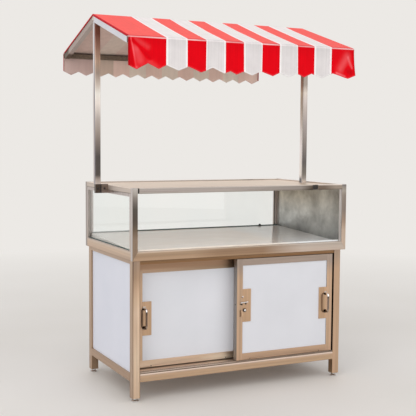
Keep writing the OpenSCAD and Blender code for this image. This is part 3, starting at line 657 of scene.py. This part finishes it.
def painted_crease_light(x, z):
    """How much painted highlight (above 0) or painted shade of a fold (below 0) a point of the front valance
    gets.
    """
    amount = sum(share * math.exp(-(gap_to(x, z, a, b) / wide) ** 2) for a, b, wide, share in MARKS)
    if x < 0:
        off = off_crease(x, z)
        pale = CREASE_HIGHLIGHT + CREASE_HIGHLIGHT_GAIN * smooth(1620, 1700, z)
        amount += pale * math.exp(-(off / CREASE_WIDE) ** 2) - CREASE_SHADE * smooth(-3.0, -7.0, off)
    return max(-1.0, min(1.0, amount))


def rippled(x, waves, phases):
    """The height of several waves at a place along the cloth."""
    return sum(high * math.sin(x / pitch + phase) for (high, pitch), phase in zip(waves, phases))


def canopy_cloth():
    """One sheet of coated cloth: front valance, both slopes and back valance, with turned-down ends. Returns
    it with the distance of each row from the front tips."""
    slope = Vector((0, (BACK - FRONT) / 2, RIDGE_RISE)).normalized()
    down, fall = Vector((0, 0, -1)), Vector((0, slope.y, -slope.z))
    eave = fillet(Vector((0, FRONT, EAVE_Z)), -down, slope, FOLD_R, FOLD_ROWS)
    ridge = fillet(Vector((0, RIDGE_Y, EAVE_Z + RIDGE_RISE)), slope, fall, RIDGE_R, RIDGE_ROWS)
    back = fillet(Vector((0, BACK, EAVE_Z)), fall, down, FOLD_R, FOLD_ROWS)
    steps = [k / ROWS for k in range(ROWS)]
    points = eave + [eave[-1].lerp(ridge[0], s) for s in steps[1:]] + ridge
    points += [ridge[-1].lerp(back[0], s) for s in steps[1:]] + back
    rows = [("front_valance", s) for s in steps] + [("point", p) for p in points]
    rows += [("back_valance", 1 - k / BACK_ROWS) for k in reversed(range(BACK_ROWS))]
    columns = cloth_columns()
    front_x, front_z = zip(*FRONT_EDGE)
    back_x, back_z = zip(*back_edge())
    draw = random.Random(11)
    waves = [(draw.uniform(0, 6.28), draw.uniform(0.6, 1.3)) for _ in range(6)]
    phases, strength = [phase for phase, _ in waves], waves[0][1]

    mesh = bmesh.new()
    # The map edge holds the share of the way up a valance, and the creases' painted highlight or shade
    layer = mesh.loops.layers.uv.new("cloth")
    edge_layer = mesh.loops.layers.uv.new("edge")
    grid, lengths = [], []
    run = 0.0
    last = None
    for kind, value in rows:
        line = []
        for x in columns:
            pale = 0.0
            if kind == "front_valance":
                bottom = float(np.interp(x, front_x, front_z))
                z = bottom + (eave[0].z - bottom) * value
                y, drop, out = FRONT, 1 - value, Vector((0, -1, 0))
                # Painted crease highlight or shade at this point
                pale = painted_crease_light(x, z)
            elif kind == "back_valance":
                bottom = float(np.interp(x, back_x, back_z))
                z = back[-1].z + (bottom - back[-1].z) * value
                y, drop, out = BACK, value, Vector((0, 1, 0))
            else:
                y, z, drop = value.y, value.z, 0.0
                out = Vector((0, -slope.z, slope.y)) if y < RIDGE_Y else Vector((0, slope.z, slope.y))
                if abs(y - RIDGE_Y) < 5:
                    out = Vector((0, 0, 1))
            share = max(0.0, 1 - abs(y - RIDGE_Y) / (RIDGE_Y - FRONT)) if kind == "point" else 0.0
            px = x + (float(np.interp(x, EAVE_STRIPES, RIDGE_STRIPES)) - x) * share
            along = (x - LEFT) / (RIGHT - LEFT)
            if kind == "point":
                belly = math.sin(math.pi * share) if 0 < share < 1 else 0.0
                ends = math.sin(math.pi * along) ** 0.6 if 0 < along < 1 else 0.0
                (long, long_pitch), (short, short_pitch) = SLOPE_WAVES
                wavy = long * math.sin(x / long_pitch + 5 * share + phases[0]) * strength
                wavy += short * math.sin(x / short_pitch - 9 * share + phases[1])
                move = belly * ends * (wavy - SAG)
            elif kind == "front_valance":
                off = off_crease(x, z)
                move = drop * rippled(x, FRONT_WAVES, phases[2:4])
                move += CREASE_LIFT * drop * math.exp(-abs(off) / CREASE_REACH[off <= 0]) * (x < 90)
                move += RIGHT_LIFT * drop * drop * smooth(1150 - 62 * drop, 1158 - 30 * drop, x)
                for middle, wide, start, lift in CURLS:
                    curl = max(0.0, drop - start) / (1 - start)
                    move += lift * curl * math.exp(-((x - middle) / wide) ** 2)
            else:
                move = drop * rippled(x, BACK_WAVES, phases[4:])
            line.append((Vector((px, y, z)) + out * move, out, pale))
        grid.append(line)
        here = line[len(line) // 2][0]
        run += 0.0 if last is None else (Vector((0, here.y, here.z)) - Vector((0, last.y, last.z))).length
        last = here
        lengths.append(run)

    def hem(line, index, sign):
        """The end turned down over the rafters, as three more columns."""
        spot, out, _ = line[index]
        near_ridge = smooth(*NARROWING, abs(spot.y - RIDGE_Y)) if sign > 0 else 0.0
        depth = LIP - (LIP - NARROW_LIP) * near_ridge
        end = Vector((LEFT if sign < 0 else RIGHT, spot.y, spot.z))
        bend = end - Vector((sign * 0.9, 0, 0)) - out * 0.9
        return [end - out * depth, end - out * min(depth / 2, TURN), bend]

    verts = []
    for line in grid:
        left, right = hem(line, 0, -1), hem(line, -1, 1)
        inner = [p for p, _, _ in line]
        inner[0].x, inner[-1].x = LEFT + TURN, RIGHT - TURN
        spots = left + inner[:1] + inner[2:-2] + inner[-1:] + right[::-1]
        verts.append([mesh.verts.new(at(*p)) for p in spots])
    us = [LEFT - LIP, LEFT - TURN, LEFT - 1, columns[0]] + columns[2:-2]
    us += [columns[-1], RIGHT + 1, RIGHT + TURN, RIGHT + LIP]
    crease_lights = [[line[0][2]] * 4 + [p for _, _, p in line[2:-2]] + [line[-1][2]] * 4 for line in grid]
    for i in range(len(verts) - 1):
        for j in range(len(verts[i]) - 1):
            corners = ((i, j), (i, j + 1), (i + 1, j + 1), (i + 1, j))
            face = mesh.faces.new([verts[r][c] for r, c in corners])
            face.smooth = True
            for loop, (r, c) in zip(face.loops, corners):
                loop[layer].uv = (us[c] * MM, lengths[r] * MM)
                kind, value = rows[r]
                rise = value if kind == "front_valance" else 1 - value if kind == "back_valance" else 1.0
                loop[edge_layer].uv = (rise, 0.5 + 0.5 * crease_lights[r][c])
    return as_object("canopy_cloth", mesh), lengths


def coated_cloth():
    """PVC-coated polyester in sewn stripes, with a gloss from the coating. The slopes are painted lighter, as
    lit from above; the fold at the eaves has a painted highlight, the creases painted highlights and shade,
    and the valances' tops painted shade under the fold. Hems and seams are brighter. Its weave of 0.5 mm
    threads is drawn as 7 mm pleat lines and a 2 mm check."""
    made, tree, shader = finish("coated_polyester_stripes", Roughness=0.42, Specular_IOR_Level=0.05)
    uv = add(tree, "UVMap", uv_map="cloth")
    across = add(tree, "SeparateXYZ", {"Vector": uv}).outputs["X"]
    u = span(tree, across, (LEFT - LIP) * MM, (RIGHT + LIP) * MM)
    edge = add(tree, "SeparateXYZ", {"Vector": add(tree, "UVMap", uv_map="edge")}).outputs

    def stripes(red, white, seam, hem_red):
        """The stripes, with a seam on the white side of each join and a red hem at both ends."""
        wide = RIGHT - LEFT + 2 * LIP
        stops = [(0.0, hem_red), ((LIP + 1) / wide, red)]
        for i in range(1, len(EAVE_STRIPES) - 1):
            spot = (EAVE_STRIPES[i] - LEFT + LIP) / wide
            if i % 2:
                stops += [(spot, seam), (spot + SEAM / wide, white)]
            else:
                stops += [(spot - SEAM / wide, seam), (spot, red)]
        stops.append((1 - (LIP + 1) / wide, hem_red))
        return add(tree, "ValToRGB", {"Fac": u}, stops, steps=True)

    # Painted shade on the valances' tops, under the fold
    below_fold = span(tree, "z", 1690, 1738, 0.7, 0.3)
    hanging = shaded(tree, stripes("#E40013", "#E1DCDC", "#F6F2F2", "#B00013"), (below_fold, 0.93, 1.0))
    hemmed = stripes("#EC3C45", "#F8F5F5", "#FCFAFA", "#B00013")
    # The slopes' stripes are painted lighter, as lit from above
    sloping = stripes("#FB544E", "#EEE7E6", "#F8F4F3", "#C80A20")
    # A painted highlight along the fold at the eaves, broken up in patches
    over_fold = add(tree, "Math", {0: place(tree, "z"), 1: (EAVE_Z - 3.5) * MM}, operation="SUBTRACT")
    off_fold = add(tree, "Math", {0: over_fold}, operation="ABSOLUTE")
    wear_and_highlight_patches = pattern(tree, (180, 180, 180), 2.0)
    fold_highlight = add(tree, "Math", {0: span(tree, off_fold, 2 * MM, 4 * MM, 1.0, 0.0),
                                  1: span(tree, wear_and_highlight_patches, 0.35, 0.6, 0.25, 0.6)}, operation="MULTIPLY")
    # Over the valances: the lighter painted slopes, the fold's painted highlight, the creases' painted
    # highlights and shade, and the brighter hems
    colour = layered(
        tree, hanging, (span(tree, "z", EAVE_Z + 1, EAVE_Z + 7), sloping), (fold_highlight, linear("#FCF3F4")),
        (span(tree, edge["Y"], 0.5, 1.0, 0.0, 0.75), linear("#FF858A")),
        (span(tree, edge["Y"], 0.5, 0.0, 0.0, 0.9), linear("#A30008")),
        (span(tree, edge["X"], 0.02, 0.055, 0.8, 0.0), hemmed))
    pleats = add(tree, "TexNoise", {"Vector": add(tree, "Mapping", {"Vector": uv, "Scale": (143, 2.5, 1)}),
                                    "Scale": 1.0, "Detail": 1.0})
    mottle = pattern(tree, (45, 45, 45), 4.0)
    weave = add(tree, "TexChecker", {"Vector": add(tree, "Mapping", {"Vector": uv, "Scale": (500, 500, 1)}),
                                     "Scale": 1.0}).outputs["Fac"]
    ribs = add(tree, "Bump", {"Height": pleats, "Strength": 0.3, "Distance": 0.5 * MM})
    bump = add(tree, "Bump", {"Height": weave, "Strength": 0.1, "Distance": 0.15 * MM, "Normal": ribs})
    feed(tree, shader, {"Base Color": shaded(tree, colour, (mottle, 0.965, 1.03), (pleats, 0.95, 1.03)),
                        "Normal": bump})
    return made


def cloth_backing():
    """The uncoated inner side of the cloth: matt and off-white, the stripes' colour faintly showing through.
    The slopes' underside and the first stripes at the left are painted darker, as shade.
    The right end's hem is turned over, so the coated red shows there. Its threads are drawn 3 mm wide."""
    made, tree, shader = finish("cloth_backing", Roughness=0.8, Specular_IOR_Level=0.2)
    across = add(tree, "SeparateXYZ", {"Vector": add(tree, "UVMap", uv_map="cloth")}).outputs["X"]
    u = span(tree, across, LEFT * MM, RIGHT * MM)

    def show_through(under_red, under_white, *first):
        """The stripes as they show from below. The first ones, at the left, may be given darker tones of
        their own, as painted shade.
        """
        shades = list(first) + [under_red, under_white] * 6
        stops = [((x - LEFT) / (RIGHT - LEFT), shade) for x, shade in zip(EAVE_STRIPES[:-1], shades)]
        return add(tree, "ValToRGB", {"Fac": u}, stops, steps=True)

    # Painted shade: darker on the slopes' underside and on the first stripes at the left
    colour = layered(
        tree, show_through("#EACFC4", "#E7DBCF", "#CCB3AD", "#CEBAAC"),
        (span(tree, "z", EAVE_Z - 2, EAVE_Z + 2), show_through("#CDB5AC", "#D0C0B5")),
        (span(tree, across, (RIGHT + 0.4) * MM, (RIGHT + 0.8) * MM), linear("#9C1A22")))
    threads, folds = pattern(tree, (3, 3, 3), 3.0), pattern(tree, (30, 30, 200), 2.0)
    feed(tree, shader, {
        "Base Color": shaded(tree, colour, (threads, 0.97, 1.03), (folds, 0.94, 1.04)),
        "Normal": add(tree, "Bump", {"Height": threads, "Strength": 0.15, "Distance": 0.2 * MM})})
    return made


cloth, cloth_rows = canopy_cloth()
cloth.data.materials.append(coated_cloth())
cloth.data.materials.append(cloth_backing())
thick = cloth.modifiers.new("cloth_thickness", "SOLIDIFY")
thick.thickness, thick.offset = CLOTH_T * MM, -1
thick.material_offset, thick.material_offset_rim = 1, 0
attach(cloth, "stall")
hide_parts("cover_front", "cover_back", "cover_valances")


# Fittings, seals and fixings
def turned(mesh, spot, axis, profile, steps=20):
    """Adds a turned form: rings of (radius, height) along an axis from a spot, in stall millimetres."""
    axis = Vector(axis)
    across = axis.orthogonal().normalized()
    other = axis.cross(across)
    rings = []
    for radius, height in profile:
        middle = Vector(spot) + axis * height
        turns = [2 * math.pi * k / steps for k in range(steps if radius > 0.001 else 1)]
        spots = [middle + radius * (math.cos(a) * across + math.sin(a) * other) for a in turns]
        rings.append([mesh.verts.new(at(*spot)) for spot in spots])
    for low, high in zip(rings, rings[1:]):
        for k in range(steps):
            below = [low[k % len(low)], low[(k + 1) % len(low)]]
            above = [high[(k + 1) % len(high)], high[k % len(high)]]
            corners = list(dict.fromkeys(below + above))
            if len(corners) > 2:
                mesh.faces.new(corners).smooth = steps > 8


def swept(mesh, path, u, v, section):
    """Adds a section of (u, v) offsets carried along a path, with closed ends, in stall millimetres."""
    u, v = Vector(u), Vector(v)
    rings = [[mesh.verts.new(at(*(Vector(p) + u * a + v * b))) for a, b in section] for p in path]
    count = len(section)
    for one, two in zip(rings, rings[1:]):
        for k in range(count):
            mesh.faces.new((one[k], one[(k + 1) % count], two[(k + 1) % count], two[k]))
    mesh.faces.new(rings[0][::-1])
    mesh.faces.new(rings[-1])


def rounded(w, h, r):
    """A rounded rectangle round (0, 0), as section points."""
    x, y = w / 2 - r, h / 2 - r
    corners = [(x, y, 0), (-x, y, 90), (-x, -y, 180), (x, -y, 270)]
    return [(x + r * math.cos(math.radians(a + d)), y + r * math.sin(math.radians(a + d)))
            for x, y, a in corners for d in (0, 30, 60, 90)]


def piece(name, mesh, material, body, slot, *replaced):
    """Makes a piece of a mesh, riding on a body."""
    bmesh.ops.recalc_face_normals(mesh, faces=mesh.faces)
    made = as_object(name, mesh)
    made.data.materials.append(material)
    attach(made, body)
    if replaced:
        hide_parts(*replaced)


X, Y, Z, TO_FRONT = (1, 0, 0), (0, 1, 0), (0, 0, 1), (0, -1, 0)
FRONT_DOOR_Y, REAR_DOOR_Y = 4.0, 76.0


def door_lock():
    """Sliding latch over a cylinder lock with a key tongue beside it, and the plate's upper screw."""
    mesh = bmesh.new()
    y = FRONT_DOOR_Y
    turned(mesh, (606, y, 478), TO_FRONT, [(4.4, 0), (4.4, 1.0), (3.6, 2.2), (2.0, 2.9), (0, 3.1)])
    latch = [(591, y - 3.4, 447), (596, y - 4.6, 448), (614, y - 4.6, 448.5), (628, y - 4.4, 449.5),
             (635, y - 3.4, 451)]
    swept(mesh, latch, Y, Z, rounded(5.0, 7.0, 1.8))
    face = [(6.8, 4), (6.8, 6.4), (6.0, 9.0), (4.3, 10.4), (2.2, 10.9), (0, 11.0)]
    turned(mesh, (616, y, 408), TO_FRONT, face, 28)
    piece("lock_latch_and_cylinder", mesh, plated, "right_door", "chrome_fittings", "door_lock")
    # Dark keyhole collar, latch staples and a spot on the door's edge; the dark discs below the screw and
    # left of the latch are painted shadows
    dark = bmesh.new()
    collar = [(9.4, 0), (9.4, 4.6), (8.6, 6.0), (7.2, 6.4), (6.2, 5.0), (0, 5.0)]
    turned(dark, (616, y, 408), TO_FRONT, collar, 28)
    turned(dark, (603.6, y, 475), TO_FRONT, [(4.0, 0), (3.8, 0.6), (0, 0.7)], 14)
    for x, z in ((600, 438), (623, 441)):
        turned(dark, (x, y, z), TO_FRONT, [(4.2, 0), (4.2, 2.6), (3.2, 3.6), (0, 3.6)], 14)
    turned(dark, (592, y, 440), TO_FRONT, [(2.8, 0), (2.6, 1.6), (0, 2.0)], 12)
    turned(dark, (572, 20, 437), (-1, 0, 0), [(3.6, 0), (3.3, 0.5), (0, 0.5)], 14)
    piece("lock_keyhole_staples_and_shadows", dark, blackened_and_shadow, "right_door", "dark_bracket")
    # A dark slot beside the key tongue: a painted shadow of the tongue
    slot = bmesh.new()
    line = [(592.5, y - 0.3, 410), (592.2, y - 0.3, 400), (592, y - 0.3, 374)]
    swept(slot, line, X, Y, rounded(6.4, 1.2, 0.5))
    piece("lock_key_tongue_shadow", slot, brown_shadow, "right_door", "dark_bracket")
    tongue = bmesh.new()
    line = [(601, y - 1.2, 404), (601.5, y - 2.2, 397), (601.5, y - 2.2, 381), (601.5, y - 1.4, 374)]
    swept(tongue, line, X, Y, rounded(6.5, 1.8, 0.7))
    piece("lock_key_tongue", tongue, tongue_steel, "right_door", "brushed_steel")


def handle_shadow_strips():
    """A dark strip on each handle's plate, between the handle's feet, that closes its D: a painted shadow of
    the handle on the plate.
    """
    for door, y, beside, paint in (("left_door", REAR_DOOR_Y, 79.0, dark_brown_shadow),
                                   ("right_door", FRONT_DOOR_Y, 1089.0, brown_shadow)):
        low, high = stall_box(door + "_handle")
        foot, bottom, top = (low.x + high.x) / 2, low.z + 4, high.z - 6
        mesh = bmesh.new()
        spots = [(foot - 5, top), (beside + 4, top - 4), (beside, top - 12), (beside, bottom + 13),
                 (beside + 3, bottom + 7), (beside + 9, bottom + 1), (foot - 3, bottom - 2)]
        swept(mesh, [(x, y - 0.4, z) for x, z in spots], (0.94, 0, 0.34), Y, rounded(7.2, 2.0, 0.8))
        piece(door + "_handle_shadow_strip", mesh, paint, door, "dark_bracket")


def glass_seals():
    """Rubber between the panes, the deck and the rails."""
    mesh = bmesh.new()
    swept(mesh, [(28, 682.6, 766.6), (1203, 682.6, 766.6)], Y, Z, rounded(4.6, 5.0, 1.6))
    swept(mesh, [(9.8, 43, 742.6), (9.8, 669, 742.6)], X, Z, rounded(3.4, 3.4, 1.2))
    piece("deck_and_side_seals", mesh, seal_rubber, "stall", "nylon")
    dark = bmesh.new()
    swept(dark, [(1187.6, 691, 768), (1187.6, 691, 1003.6)], X, Y, rounded(4.4, 3.0, 1.2))
    turned(dark, (1081, 679, 765.5), Z, [(7.5, 0), (7.5, 4.5), (6.4, 8), (3.6, 10.2), (0, 10.8)], 18)
    piece("end_seal_and_glass_stop", dark, black_rubber, "stall", "nylon")


def deck_lip():
    """The deck's folded front rim, standing a little over the rail."""
    mesh = bmesh.new()
    swept(mesh, [(27.6, 31.4, 739.6), (1203.4, 31.4, 739.6)], Y, Z, rounded(5.2, 9.4, 2.2))
    piece("deck_front_rim", mesh, enamel, "stall", "gloss_sheet")


def bracket_fittings():
    """The gap between the bracket's two clamps, filled with a dark strip as painted shade, and a bolt in each
    clamp.
    """
    mesh = bmesh.new()
    swept(mesh, [(-40.5, 343.2, 1006.5), (-40.5, 343.2, 1049.5)], X, Y, rounded(8.6, 1.6, 0.6))
    bolt = [(6.4, 0), (6.4, 1.0), (4.2, 1.4), (4.2, 4.2), (3.2, 5.0), (0, 5.0)]
    for x in (-55, -20):
        turned(mesh, (x, 343.5, 1029), TO_FRONT, bolt, 6)
    piece("bracket_gap_and_bolts", mesh, blackened_and_shadow, "stall", "dark_bracket")


def fixings():
    """Countersunk screws in the right post's foot plate and nuts on the levelling feet's stems."""
    mesh = bmesh.new()
    for x, y in ((1158, 343.5), (1158, 365.5), (1170, 335.6), (1184, 335.6)):
        turned(mesh, (x, y, 1040), Z, [(2.9, 0), (2.7, 0.7), (1.2, 1.3), (0, 1.4)], 12)
    for x in (20, 1180):
        for y in (20, 640):
            turned(mesh, (x, y, 12.2), Z, [(9, 0), (12.6, 0), (12.6, 5.2), (9, 5.6)], 6)
    piece("plate_screws_and_foot_nuts", mesh, plated, "stall", "feet")


door_lock()
handle_shadow_strips()
glass_seals()
deck_lip()
bracket_fittings()
fixings()

# Stage and light
BACKGROUND, FLOOR_RADIUS, FADE = "#ECE9E5", 16.0, (1.6, 5.5)


def seen_directly(tree):
    """1 for rays from the camera and through mirrors and glass, 0 for rays that only carry light."""
    path = add(tree, "LightPath").outputs
    seen = add(tree, "Math", {0: path["Is Camera Ray"], 1: path["Is Glossy Ray"]}, operation="MAXIMUM")
    return add(tree, "Math", {0: seen, 1: path["Is Transmission Ray"]}, operation="MAXIMUM")


world = bpy.data.worlds.new("studio")
bpy.context.scene.world = world
world.use_nodes = True
tree = world.node_tree
tree.nodes.clear()
light = add(tree, "Background", {"Color": linear("#FFFFFF"), "Strength": 0.6})
pale = add(tree, "Background", {"Color": linear(BACKGROUND), "Strength": 1.0})
add(tree, "OutputWorld", {"Surface": add(tree, "MixShader", {0: seen_directly(tree), 1: light, 2: pale})})


def studio_floor():
    """A pale round floor, open on all sides, that fades into the background away from the stall."""
    mesh = bmesh.new()
    bmesh.ops.create_circle(mesh, cap_ends=True, segments=96, radius=FLOOR_RADIUS)
    made = as_object("studio_floor", mesh)
    paint, tree, shader = finish("studio_paper", Roughness=0.6)
    cloud = pattern(tree, (900, 900, 900), 1.0)
    colour = add(tree, "ValToRGB", {"Fac": cloud}, [(0.3, "#EAE6E1"), (0.7, "#EEEAE6")])
    feed(tree, shader, {"Base Color": colour})
    spot = add(tree, "TexCoord").outputs["Object"]
    away = add(tree, "VectorMath", {0: spot}, operation="LENGTH").outputs["Value"]
    faded = add(tree, "Math", {0: span(tree, away, *FADE), 1: seen_directly(tree)}, operation="MULTIPLY")
    pale = add(tree, "Emission", {"Color": linear(BACKGROUND), "Strength": 1.0})
    both = add(tree, "MixShader", {0: faded, 1: shader, 2: pale})
    feed(tree, tree.nodes["Material Output"], {"Surface": both})
    made.data.materials.append(paint)


studio_floor()


def soft_light(name, spot, aim, size, watts):
    """A round white lamp of a size in metres, aimed at a spot."""
    lamp = bpy.data.lights.new(name, "AREA")
    lamp.shape, lamp.size, lamp.energy = "DISK", size, watts
    made = bpy.data.objects.new(name, lamp)
    bpy.context.scene.collection.objects.link(made)
    made.location = spot
    made.rotation_euler = (Vector(aim) - Vector(spot)).to_track_quat("-Z", "Y").to_euler()


soft_light("key_light", (-5.8, -6.2, 4.6), (0, 0, 0.9), 11.5, 395)
soft_light("fill_light", (5.2, -7.4, 4.2), (0, 0, 0.8), 11.5, 142)
soft_light("top_light", (-0.4, 0.2, 6.5), (0, 0, 1.0), 3.2, 45)
